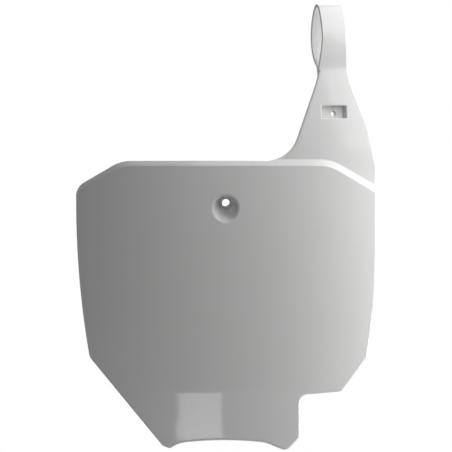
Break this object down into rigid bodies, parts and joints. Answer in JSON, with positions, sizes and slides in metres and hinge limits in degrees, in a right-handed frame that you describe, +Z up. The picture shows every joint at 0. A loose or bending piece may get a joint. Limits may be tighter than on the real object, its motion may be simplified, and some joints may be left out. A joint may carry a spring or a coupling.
{
  "type": "racing number board",
  "caption": "Curved white plastic front number plate with a recessed bolt cup, turned-back edge, arched foot, offset neck with screw pocket and a strap loop.",
  "frame": {"origin": "centre of the fixing hole, on the front of the cup's floor", "axes": "+Z up along the board, +X to the right as seen from the front, -Y towards the front; the board is set upright with its field facing -Y"},
  "size_m": [0.2488, 0.0581, 0.3697],
  "materials": {
    "white_plastic": "glossy as moulded"
  },
  "bodies": {
    "root": {"number_board": "white_plastic"}
  },
  "joints": []
}
